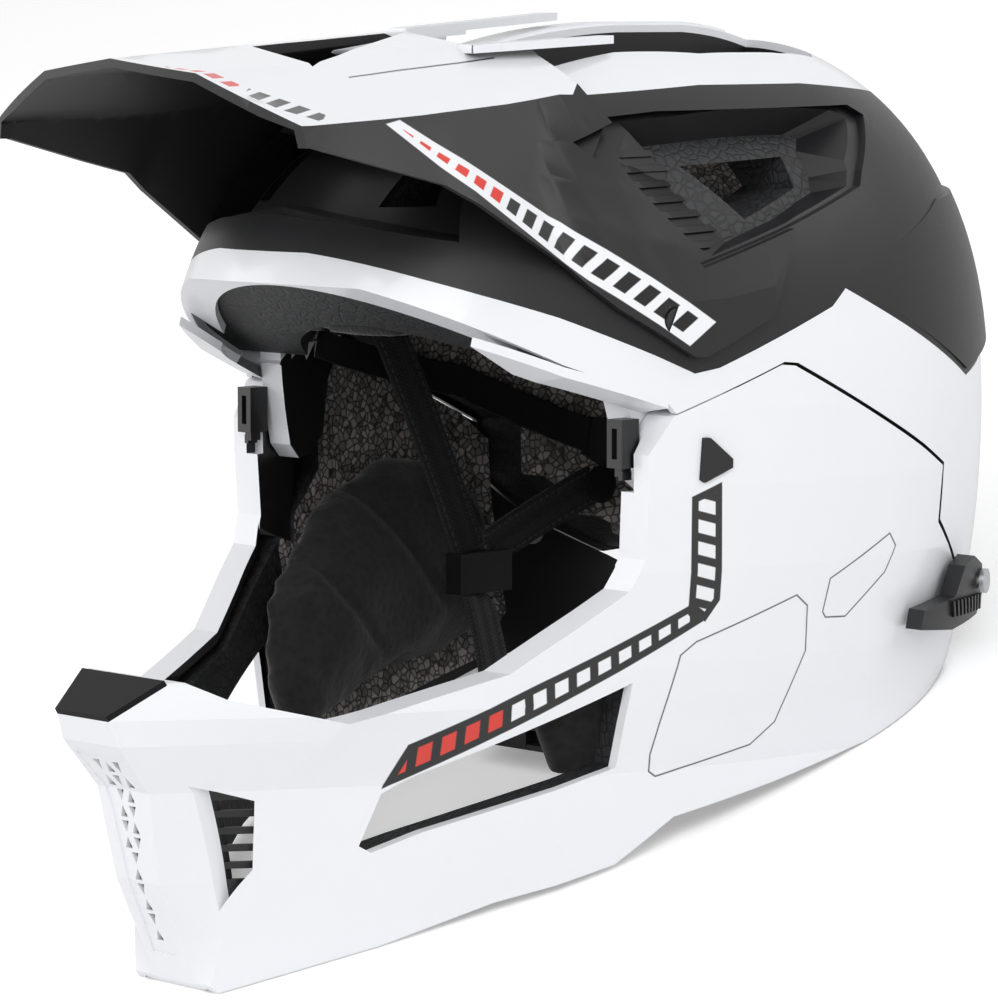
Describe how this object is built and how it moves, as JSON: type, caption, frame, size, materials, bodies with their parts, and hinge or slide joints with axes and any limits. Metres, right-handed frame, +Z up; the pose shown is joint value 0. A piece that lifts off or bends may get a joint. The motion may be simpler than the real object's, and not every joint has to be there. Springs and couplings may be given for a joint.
{
  "type": "downhill bike full face helmet",
  "caption": "Full face bike helmet with a lift-off chin bar on front hooks and rear levers, a tilting visor, vented shell, foam liner, pads, straps and a rear fit dial.",
  "frame": {"origin": "on the resting surface, under the middle of the bounding box", "axes": "+Z up, the face opening towards -Y, +X to the wearer's left; the helmet rests tipped back on its chin and ears"},
  "size_m": [0.2164, 0.3498, 0.2594],
  "materials": {
    "white_shell": "gloss white lacquer",
    "black_shell": "satin black lacquer",
    "visor_white": "gloss lacquer",
    "black_plastic": "moulded satin",
    "bead_foam": "expanded bead foam",
    "liner_foam": "expanded bead foam",
    "pad_fabric": "brushed knit over foam",
    "strap_web": "woven webbing",
    "disc_rubber": "soft translucent elastomer",
    "soft_rubber": "matt rubber",
    "pin_steel": "plain turned"
  },
  "bodies": {
    "half_shell": {"lower_shell": "white_shell", "crown_panel": "white_shell", "upper_shell": "black_shell", "brow_insert": "black_shell", "crown_channel": "black_shell", "outer_foam": "bead_foam", "inner_liner": "liner_foam", "brow_pad": "pad_fabric", "rear_pad": "pad_fabric", "crown_pad": "pad_fabric", "damping_discs": "disc_rubber", "buckle_base": "black_plastic", "occipital_cradle": "black_plastic", "dial_housing": "black_plastic", "scoop_tray_left": "black_shell", "scoop_tray_right": "black_shell", "side_pad_left": "pad_fabric", "side_pad_right": "pad_fabric", "side_web_left": "strap_web", "side_web_right": "strap_web", "chin_web_left": "strap_web", "chin_web_right": "strap_web", "strap_divider_left": "black_plastic", "strap_divider_right": "black_plastic", "strap_anchor_left": "black_plastic", "strap_anchor_right": "black_plastic", "cradle_band_left": "black_plastic", "cradle_band_right": "black_plastic", "visor_peg_left": "black_plastic", "visor_peg_right": "black_plastic", "front_catch_left": "black_plastic", "front_catch_right": "black_plastic"},
    "visor": {"visor": "visor_white"},
    "chin_bar": {"chin_shell": "white_shell", "chin_foam": "bead_foam", "nose_grille": "white_shell", "nose_cap": "black_shell", "rubber_plug_left": "soft_rubber", "rubber_plug_right": "soft_rubber", "front_vent_mesh_left": "black_plastic", "front_vent_mesh_right": "black_plastic", "front_hook_left": "black_plastic", "front_hook_right": "black_plastic", "cheek_pad_left": "pad_fabric", "cheek_pad_right": "pad_fabric", "lever_pin_left": "pin_steel", "lever_pin_right": "pin_steel"},
    "lever_left": {"release_lever_left": "black_plastic"},
    "lever_right": {"release_lever_right": "black_plastic"},
    "fit_dial": {"fit_dial": "black_plastic"},
    "buckle_tongue": {"buckle_tongue": "black_plastic"}
  },
  "joints": [
    {"name": "visor_tilt", "type": "hinge", "parent": "half_shell", "child": "visor", "pos_m": [0, -0.00583, 0.14898], "axis": [1, 0, 0], "range_deg": [0, 15]},
    {"name": "chin_bar_off", "type": "slide", "parent": "half_shell", "child": "chin_bar", "axis": [0, -0.2974, -0.9548], "range_m": [0, 0.16]},
    {"name": "lever_left_turn", "type": "hinge", "parent": "chin_bar", "child": "lever_left", "pos_m": [0.09294, 0.08568, 0.0325], "axis": [0.9123, 0.3909, -0.1217], "range_deg": [0, 30]},
    {"name": "lever_right_turn", "type": "hinge", "parent": "chin_bar", "child": "lever_right", "pos_m": [-0.09294, 0.08568, 0.0325], "axis": [0.9123, -0.3909, 0.1217], "range_deg": [0, 30]},
    {"name": "fit_dial_turn", "type": "hinge", "parent": "half_shell", "child": "fit_dial", "pos_m": [0, 0.12533, 0.02015], "axis": [0, 0.9548, -0.2974], "range_deg": [0, 300]},
    {"name": "buckle_open", "type": "slide", "parent": "half_shell", "child": "buckle_tongue", "axis": [0, -0.9548, 0.2974], "range_m": [0, 0.03]}
  ]
}
